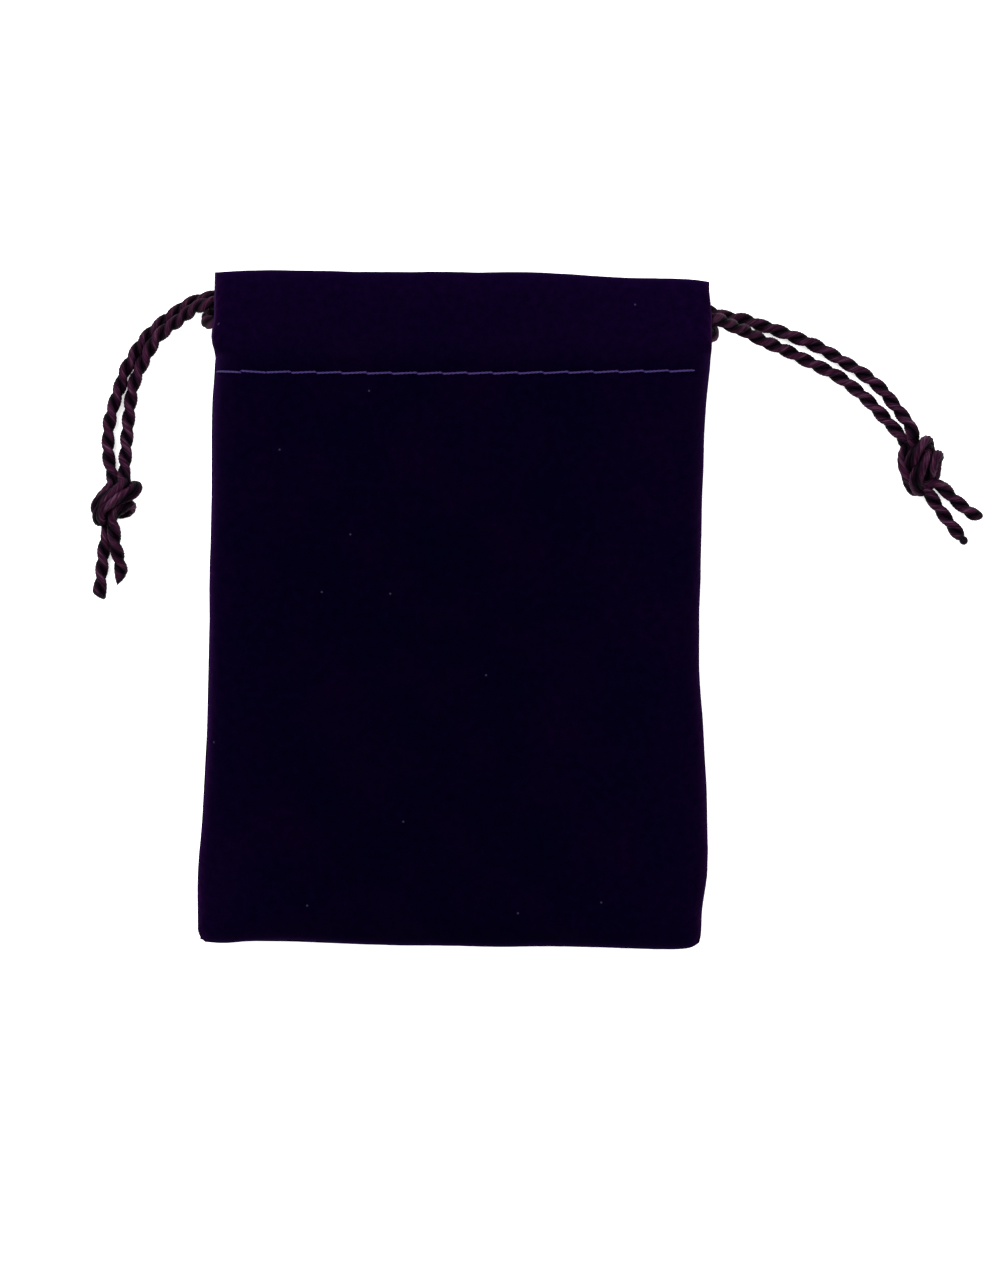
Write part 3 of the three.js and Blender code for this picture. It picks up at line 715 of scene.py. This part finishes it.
TOP = [
    (-36.5, 51.2), (-33, 51.35), (-25, 51.25), (0, 51.3), (8.5, 51.15), (17.6, 50.75), (23.6, 50.45),
    (29.7, 50.2), (37.4, 49.9), (38.7, 49.5),
]
OUTLINE_REACH = 1  # over which the corners of the sides and the bottom are rounded
TOP_REACH = 1.5

# The height of each panel's outer face, and the room between a panel and its hem, both by Y.
FRONT_FACE = [
    (-45, 7.6), (-29, 8), (9, 8.6), (25, 9.2), (31, 9.6), (STITCH_Y, 10.2), (38.4, 11.3),
    (SLIT_HIGH_Y, 12),
]
BACK_FACE = [(BOTTOM_Y, 0), (TOP_Y, 0)]
FACE_REACH = 2
CASING = [(HEM_Y, 0.4), (STITCH_Y, 0.15), (SLIT_HIGH_Y, CHANNEL), (TOP_Y, CHANNEL)]
CASING_REACH = 1

PANELS = {
    "front": {"out": 1, "face": FRONT_FACE, "rests_on": "back_panel"},
    "back": {"out": -1, "face": BACK_FACE, "rests_on": "floor"},
}
SIDES = {"left": -1, "right": 1}

PLEATS = 6  # in each half of the mouth, from the middle to the side
PLEAT_RISE = {"front": 0.35, "back": 0.05}
PLEAT_DRIFT = 0.35  # how far the pleats stray from even places, in pleats
PLEAT_DRIFT_TURNS = (1.4, 0.3)
PLEAT_CONTRAST = 0.35  # how much lower than the highest pleat a middling one is
PLEAT_CONTRAST_TURNS = (2.3, 0.4)
PLEATS_FADE_Y = (6, 34)  # where the pleats start on the body, and where they are whole
PLEATS_FADE_SHARE = (1.0, 0.9)  # the same at the sides, as shares of the half width
GROOVE = 0.35  # how deep the stitch row pulls into the cloth
GROOVE_REACH = 0.8
LOOSENESS = [(17, 0.35), (6, 0.08), (1.3, 0.025)]  # the length and the rise of the cloth's uneven waves
BOTTOM_SHIFT_Y = (-45, -20)  # where the bottom's outline stops shifting the rows above it

# The grids' steps: across the flat part, round an edge, round the fold, and up the panel and the hem.
FLAT_STEPS = 56
EDGE_STEPS = 12
FOLD_STEPS = 14
ROW_STEP = 1.1
PANEL_FINE_STEP = 0.35
HEM_FINE_STEP = 0.5
FINE_REACH = 3  # from the stitch row
NORMAL_AVERAGINGS = 2
ALLOWANCE_ROWS = 5
ALLOWANCE_BOTTOM_POINTS = 28
ALLOWANCE_SIDE_POINTS = 60
CORNER_Y = -48  # where the allowance turns from the bottom to the sides


def outline_edge(side, y):
    return eased(LEFT if side < 0 else RIGHT, y, OUTLINE_REACH)


def nearest_edge(x, y):
    return np.where(x < 0, outline_edge(-1, y), outline_edge(1, y))


# Columns of a panel: side, share of the flat part, and angle round the rounded edge.
half_columns = [(share, 0.0) for share in np.linspace(0, 1, FLAT_STEPS + 1)]
half_columns += [(1.0, angle) for angle in np.linspace(0, math.pi / 2, EDGE_STEPS + 1)[1:]]
COLUMNS = np.array(
    [(-1, share, angle) for share, angle in half_columns[:0:-1]]
    + [(1, share, angle) for share, angle in half_columns]
)
SIDE_OF, FLAT_SHARE, EDGE_ANGLE = COLUMNS.T
RISE_ACROSS = np.cos(EDGE_ANGLE)


def across_at(y, inset=0.0):
    """X of each column at this height, with the outline moved in by the inset."""
    edge = np.where(SIDE_OF < 0, outline_edge(-1, y) + inset, outline_edge(1, y) - inset)
    start = edge - SIDE_OF * EDGE_RADIUS
    return FLAT_SHARE * start + SIDE_OF * EDGE_RADIUS * np.sin(EDGE_ANGLE)


def slit_opening(y):
    return smoothstep(y, SLIT_LOW_Y, SLIT_HIGH_Y)


def swing(share, side, turns):
    """A sine over half of the mouth. Turns says how many it makes there, and with how many it starts."""
    return np.sin(2 * math.pi * (turns[0] * share + turns[1] * side))


def pleat_phase(share, side):
    """How many pleats lie between the middle and a share of the half width; they are unevenly wide."""
    drift = swing(share, side, PLEAT_DRIFT_TURNS) - swing(0, side, PLEAT_DRIFT_TURNS)
    return PLEATS * share + PLEAT_DRIFT * drift * (1 - share)


def pleats(panel_name, x, y):
    """Slight waves across the casings."""
    side = np.where(x < 0, -1, 1)
    share = x / nearest_edge(x, y)
    wave = 0.5 - 0.5 * np.cos(2 * math.pi * pleat_phase(share, side))
    height = 1 - PLEAT_CONTRAST * (1 - swing(share, side, PLEAT_CONTRAST_TURNS))
    fade = smoothstep(y, *PLEATS_FADE_Y) * smoothstep(share, *PLEATS_FADE_SHARE)
    return PLEAT_RISE[panel_name] * wave * height * fade


def face_height(panel_name, x, y, rise_across, rise_along):
    panel = PANELS[panel_name]
    groove = GROOVE * np.exp(-(((y - STITCH_Y) / GROOVE_REACH) ** 2))
    high = eased(panel["face"], y, FACE_REACH) - panel["out"] * groove + pleats(panel_name, x, y)
    seam = SEAM_Z + panel["out"] * SEAM_GAP
    open_share = slit_opening(y)
    edge = seam * (1 - open_share) + high * open_share
    return edge + (high - edge) * rise_across * rise_along


def bottom_row(panel_name, angle):
    above = EDGE_RADIUS * (1 - math.cos(angle))
    x = across_at(BOTTOM_Y + above)
    y = eased(BOTTOM, x, OUTLINE_REACH) + above
    return np.stack([x, y, face_height(panel_name, x, y, RISE_ACROSS, math.sin(angle))], axis=1)


def top_shift(x, nominal_y):
    return (eased(TOP, x, TOP_REACH) - TOP_Y) * max(nominal_y - SLIT_LOW_Y, 0) / (TOP_Y - SLIT_LOW_Y)


def body_row(panel_name, nominal_y):
    x = across_at(nominal_y)
    low_share = 1 - smoothstep(nominal_y, *BOTTOM_SHIFT_Y)
    low_shift = (eased(BOTTOM, x, OUTLINE_REACH) - BOTTOM_Y) * low_share
    y = nominal_y + low_shift + top_shift(x, nominal_y)
    return np.stack([x, y, face_height(panel_name, x, nominal_y + 0 * x, RISE_ACROSS, 1)], axis=1)


def fold_row(panel_name, angle):
    out = PANELS[panel_name]["out"]
    x = across_at(TOP_Y - FOLD_RADIUS, SLIT_INSET * smoothstep(angle, math.pi / 2, math.pi))
    y = eased(TOP, x, TOP_REACH) - FOLD_RADIUS + FOLD_RADIUS * math.sin(angle)
    high = eased(PANELS[panel_name]["face"], TOP_Y, FACE_REACH) + pleats(panel_name, x, TOP_Y + 0 * x)
    return np.stack([x, y, high - out * FOLD_RADIUS * (1 - math.cos(angle))], axis=1)


def hem_height(panel_name, y):
    """The height of the hem's face that looks into the bag."""
    panel = PANELS[panel_name]
    gap = 2 * CLOTH + eased(CASING, y, CASING_REACH)
    return eased(panel["face"], y, FACE_REACH) - panel["out"] * gap


def hem_row(panel_name, nominal_y):
    x = across_at(nominal_y, HEM_INSET + (SLIT_INSET - HEM_INSET) * slit_opening(nominal_y))
    y = nominal_y + top_shift(x, nominal_y)
    pleated = smoothstep(nominal_y, HEM_FLAT_Y, TOP_Y - FOLD_RADIUS)
    z = hem_height(panel_name, nominal_y) + pleats(panel_name, x, nominal_y + 0 * x) * pleated
    return np.stack([x, y, z], axis=1)


def row_places(low, high, fine_step):
    """Places for rows from low to high, closer together at the stitch row."""
    ys = [low]
    while ys[-1] < high:
        close = abs(ys[-1] - STITCH_Y) < FINE_REACH
        ys.append(ys[-1] + (fine_step if close else ROW_STEP))
    return ys[:-1] + [high]


def panel_grid(panel_name):
    fold_start = TOP_Y - FOLD_RADIUS
    rows = [bottom_row(panel_name, angle) for angle in np.linspace(0, math.pi / 2, EDGE_STEPS + 1)]
    body_ys = row_places(BOTTOM_Y + EDGE_RADIUS, fold_start, PANEL_FINE_STEP)
    rows += [body_row(panel_name, y) for y in body_ys[1:]]
    rows += [fold_row(panel_name, angle) for angle in np.linspace(0, math.pi, FOLD_STEPS + 1)[1:]]
    hem_ys = row_places(HEM_Y, fold_start, HEM_FINE_STEP)
    rows += [hem_row(panel_name, y) for y in hem_ys[-2::-1]]
    return np.array(rows)


def allowance_height(panel_name):
    """The height of the turned-in allowance's face that touches its own panel's seam edge."""
    return SEAM_Z + PANELS[panel_name]["out"] * (SEAM_GAP + CLOTH)


def allowance_grid(panel_name):
    """The turned-in seam allowance, from the left slit down, along the bottom and up to the right slit."""
    rows = []
    for inset in np.linspace(CLOTH / 2, ALLOWANCE, ALLOWANCE_ROWS):
        line = []
        for side in (-1, 1):
            corner_x = outline_edge(side, CORNER_Y) - side * inset
            bottom_x = np.linspace(0, corner_x, ALLOWANCE_BOTTOM_POINTS)
            bottom_y = eased(BOTTOM, bottom_x, OUTLINE_REACH) + inset
            side_y = np.linspace(bottom_y[-1], SLIT_LOW_Y, ALLOWANCE_SIDE_POINTS)[1:]
            side_x = outline_edge(side, side_y) - side * inset
            half = np.stack([np.append(bottom_x, side_x), np.append(bottom_y, side_y)], axis=1)
            line += list(half[:0:-1]) if side < 0 else list(half)
        rows.append(np.column_stack([line, np.full(len(line), allowance_height(panel_name))]))
    return np.array(rows)


def averaged(grid):
    """Each vector of a grid averaged with its eight neighbours."""
    padded = np.pad(grid, ((1, 1), (1, 1), (0, 0)), mode="edge")
    rows, columns = grid.shape[:2]
    return sum(padded[r : r + rows, c : c + columns] for r in range(3) for c in range(3)) / 9


def outward_normals(outer, out):
    """The normals of a grid of points. Out is 1 where its body looks up, and -1 where it looks down.

    They are averaged, because the grid's lines run together at the cloth's bottom corners.
    """
    normals = unit(np.cross(np.gradient(outer, axis=1), np.gradient(outer, axis=0)))
    for _ in range(NORMAL_AVERAGINGS):
        normals = unit(averaged(normals))
    on_body = normals[len(normals) // 3, normals.shape[1] // 2]
    return normals if on_body[2] * out > 0 else -normals


def flat_coordinates(outer):
    """Where each point lies on the cloth before it was sewn: across, and along from the bottom."""
    steps = np.linalg.norm(np.diff(outer, axis=0), axis=2)
    along = np.vstack([np.zeros(outer.shape[1]), np.cumsum(steps, axis=0)])
    steps = np.linalg.norm(np.diff(outer, axis=1), axis=2)
    across = np.hstack([np.zeros((len(outer), 1)), np.cumsum(steps, axis=1)])
    middle = outer.shape[1] // 2
    return np.dstack([across - across[:, [middle]], along, np.zeros_like(along)])


def nap_relief(points, normals):
    """The points moved along their normals by the slight unevenness of a loose cloth and of its pile."""
    heights = np.array([
        sum(noise.noise(Vector(point) / wave) * rise for wave, rise in LOOSENESS)
        for point in points.reshape(-1, 3)
    ])
    return points + normals * heights.reshape(points.shape[:2])[..., None]


def quads(grid):
    corners = [grid[:-1, :-1], grid[:-1, 1:], grid[1:, 1:], grid[1:, :-1]]
    return np.stack(corners, axis=-1).reshape(-1, 4)


def wall(line, count):
    """Faces between a line of points and the same line on the cloth's other face, count numbers on."""
    return np.stack([line[:-1], line[:-1] + count, line[1:] + count, line[1:]], axis=-1)


def closed_skin(number):
    """Faces round a whole cloth, whose outer face's points have these numbers."""
    count = number.size
    rims = [
        wall(number[0], count)[:, ::-1], wall(number[-1], count),
        wall(number[:, 0], count), wall(number[:, -1], count)[:, ::-1],
    ]
    return np.concatenate([quads(number), quads(number + count)[:, ::-1], *rims])


def closed_half(sheet, side):
    """One half of a cloth as a closed skin, with normals that meet the other half's at the middle."""
    rows, columns = sheet["outer"].shape[:2]
    number = np.arange(rows * columns).reshape(rows, columns)
    points = np.concatenate([sheet["outer"].reshape(-1, 3), sheet["inner"].reshape(-1, 3)])
    skin = closed_skin(number)
    a, b, c, d = (points[skin[:, k]] for k in range(4))
    face_normals = np.cross(c - a, d - b)
    inside_out = (a * face_normals).sum() < 0
    if inside_out:
        skin = skin[:, ::-1]
        face_normals = -face_normals
    smooth = np.zeros_like(points)
    for k in range(4):
        np.add.at(smooth, skin[:, k], face_normals)
    smooth = unit(smooth)

    middle = columns // 2
    side_of = np.sign(np.tile(np.arange(columns), rows * 2) - middle)
    faces = skin[(side_of[skin] * side >= 0).all(1) & (side_of[skin] != 0).any(1)]
    cap = wall(number[:, middle], number.size)
    if (side > 0) != inside_out:
        cap = cap[:, ::-1]
    cap_normals = np.tile([-float(side), 0, 0], (cap.size, 1))
    corner_normals = np.concatenate([smooth[faces.ravel()], cap_normals])
    used, faces = np.unique(np.concatenate([faces, cap]), return_inverse=True)
    return {
        "points": points[used],
        "faces": faces.reshape(-1, 4),
        "normals": corner_normals,
        "attributes": {key: np.concatenate([sheet[key]] * 2)[used] for key in ("cloth", "raised", "rim")},
    }


def rim_share(points):
    """How much painted sheen lies along the outline, and a painted highlight at the edges of the slits."""
    x, y = points[..., 0], points[..., 1]
    to_side = np.abs(nearest_edge(x, y) - x)
    slit_edge = slit_opening(y) * np.where(x < 0, 0.9, 0.5)
    return 0.3 * np.exp(-((to_side / 0.8) ** 2)) + slit_edge * np.exp(-((to_side / 0.3) ** 2))


def painted_sheen_share(points):
    """How much painted sheen lightens the velvet where its pile would catch the light: at the casing, the
    sides and the right.
    """
    x, y = points[..., 0], points[..., 1]
    to_side = np.abs(nearest_edge(x, y) - x)
    casing = 0.45 * smoothstep(y, STITCH_Y - 1, STITCH_Y + 5) + 0.25 * smoothstep(y, 44, TOP_Y)
    sides = 0.35 * np.exp(-to_side / 5)
    upper = 0.10 * smoothstep(y, 5, STITCH_Y)
    low_left = 0.25 * smoothstep(x, -18, -36) * smoothstep(y, -25, -46)
    right = 0.12 * smoothstep(x, 0, 35) * (1 + smoothstep(y, STITCH_Y, STITCH_Y + 5))
    return np.clip(casing + sides + upper + low_left + right, 0, 1)


def gather(piece):
    """Bakes the piece's placement into its mesh."""
    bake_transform(piece)


def make_panel_half(panel_name, side_name, sheets):
    node = f"{panel_name}_panel"
    parts = [closed_half(sheet, SIDES[side_name]) for sheet in sheets]
    piece = new_piece(f"{node}_{side_name}", parts, VELVET, node)
    gather(piece)


def as_sheet(outer, inner, plain, cloth):
    """A cloth's two faces and its velvet's attributes, which are read from its plain outer face."""
    return {
        "outer": outer,
        "inner": inner,
        "cloth": cloth.reshape(-1, 3),
        "raised": painted_sheen_share(plain).ravel(),
        "rim": rim_share(plain).ravel(),
    }


def panel_sheets(panel_name):
    out = PANELS[panel_name]["out"]
    plain = panel_grid(panel_name)
    normals = outward_normals(plain, out)
    outer = nap_relief(plain, normals) if panel_name == "front" else plain
    allowance = allowance_grid(panel_name)
    return [
        as_sheet(outer, plain - CLOTH * normals, plain, flat_coordinates(plain)),
        as_sheet(allowance, allowance - np.array([0, 0, out * CLOTH]), allowance, allowance),
    ]


for panel_name in PANELS:
    sheets = panel_sheets(panel_name)
    for side_name in SIDES:
        make_panel_half(panel_name, side_name, sheets)

# ---- Stitches ----

THREAD_D = 0.30
THREAD_PITCH = 1.3
THREAD_SIDES = 10
STITCH_GAP = 0.06
STITCH_SINK = 0.26  # how deep its ends go into the cloth
STITCH_SLANT = 0.11
TURNED_STITCHES = 2  # how many at the left end of a row slant the other way
CASING_STITCH = 3.9
CASING_STITCH_POINTS = 34
CASING_STITCH_BEND = 10  # how sharply it bends down at its ends
CASING_ROW = [(-36, 36.2), (-10, 35.9), (10, 35.95), (36, 36.3)]  # Y by X
CASING_ROW_REACH = 5
CASING_LIMITS = {"needle": (-36.2, 36.3), "bobbin": (-31.2, 31.2)}
SEAM_STITCH = 3.0
SEAM_STITCH_POINTS = 12
SEAM_STITCH_BEND = 6
SEAM_INSET = 1.3  # from the outline
SEAM_START_Y = -46
BOTTOM_SEAM_X = (-35, 33)
BOTTOM_SEAM_POINTS = 200
SIDE_SEAM_POINTS = 260


def casing_surface(panel_name, layer):
    """A way from x to the place and the outward normal on a casing's stitch row."""
    out = PANELS[panel_name]["out"]

    def place(x):
        y = eased(CASING_ROW, x, CASING_ROW_REACH)
        if layer == "bobbin":
            return np.stack([x, y, hem_height(panel_name, y)], axis=1), -out
        past_flat = np.clip((np.abs(x) - np.abs(nearest_edge(x, y)) + EDGE_RADIUS) / EDGE_RADIUS, 0, 1)
        z = face_height(panel_name, x, y, np.sqrt(1 - past_flat ** 2), 1)
        return np.stack([x, y, z], axis=1), out

    return place


def thread_rise(share, bend):
    """How high the thread lies over the cloth at a share of its stitch."""
    return THREAD_D / 2 - STITCH_SINK * np.abs(2 * share - 1) ** bend


def stitch_tubes(line):
    count = len(line)
    plies, strands, crest = twisted_plies(
        line, THREAD_D / 2, np.full(count, THREAD_PITCH), np.ones(count),
        np.tile([0.0, 0.0, 1.0], (count, 1)), np.ones(count), sides=THREAD_SIDES,
    )
    return [closed_tube(plies[ply], {"strand": strands[ply], "crest": crest}) for ply in range(2)]


def casing_stitches(panel_name, layer, side):
    """The tubes of those stitches of a casing's row whose middle lies on this side."""
    place = casing_surface(panel_name, layer)
    low, high = CASING_LIMITS[layer]
    count = round((high - low) / CASING_STITCH)
    starts, pitch = np.linspace(low, high, count, endpoint=False, retstep=True)
    share = np.linspace(0, 1, CASING_STITCH_POINTS)
    tubes = []
    for index, start in enumerate(starts):
        if (start + pitch / 2) * side < 0:
            continue
        line, out = place(start + STITCH_GAP / 2 + share * (pitch - STITCH_GAP))
        slant = STITCH_SLANT if index >= TURNED_STITCHES else -STITCH_SLANT
        line[:, 1] += slant * (2 * share - 1)
        line[:, 2] += out * thread_rise(share, CASING_STITCH_BEND)
        tubes += stitch_tubes(line)
    return tubes


def make_casing_stitches():
    for panel_name in PANELS:
        for layer in CASING_LIMITS:
            node = f"{panel_name}_casing_{layer}_thread"
            for side_name, side in SIDES.items():
                tubes = casing_stitches(panel_name, layer, side)
                piece = new_piece(f"{node}_{side_name}", tubes, THREAD, node)
                gather(piece)


make_casing_stitches()


def seam_line(seam):
    """X and Y of points along the seam, SEAM_INSET inside the outline."""
    if seam == "bottom":
        x = np.linspace(*BOTTOM_SEAM_X, BOTTOM_SEAM_POINTS)
        return np.stack([x, eased(BOTTOM, x, OUTLINE_REACH) + SEAM_INSET], axis=1)
    y = np.linspace(SEAM_START_Y, SLIT_LOW_Y, SIDE_SEAM_POINTS)
    side = SIDES[seam]
    return np.stack([outline_edge(side, y) - side * SEAM_INSET, y], axis=1)


def make_seam_stitches():
    share = np.linspace(0, 1, SEAM_STITCH_POINTS)
    for seam in ("left", "right", "bottom"):
        flat = seam_line(seam)
        along = lengths_along(flat)
        for layer, panel_name in (("needle", "front"), ("bobbin", "back")):
            z = allowance_height(panel_name)
            z = z + PANELS[panel_name]["out"] * thread_rise(share, SEAM_STITCH_BEND)
            tubes = []
            for start in np.arange(0, along[-1] - SEAM_STITCH, SEAM_STITCH):
                at = start + STITCH_GAP / 2 + share * (SEAM_STITCH - STITCH_GAP)
                x, y = (np.interp(at, along, flat[:, axis]) for axis in range(2))
                tubes += stitch_tubes(np.stack([x, y, z], axis=1))
            node = f"{seam}_seam_{layer}_thread"
            piece = new_piece(f"{node}_stitches", tubes, THREAD, node)
            if seam == "bottom":
                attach(piece, "bag")
            else:
                gather(piece)


make_seam_stitches()
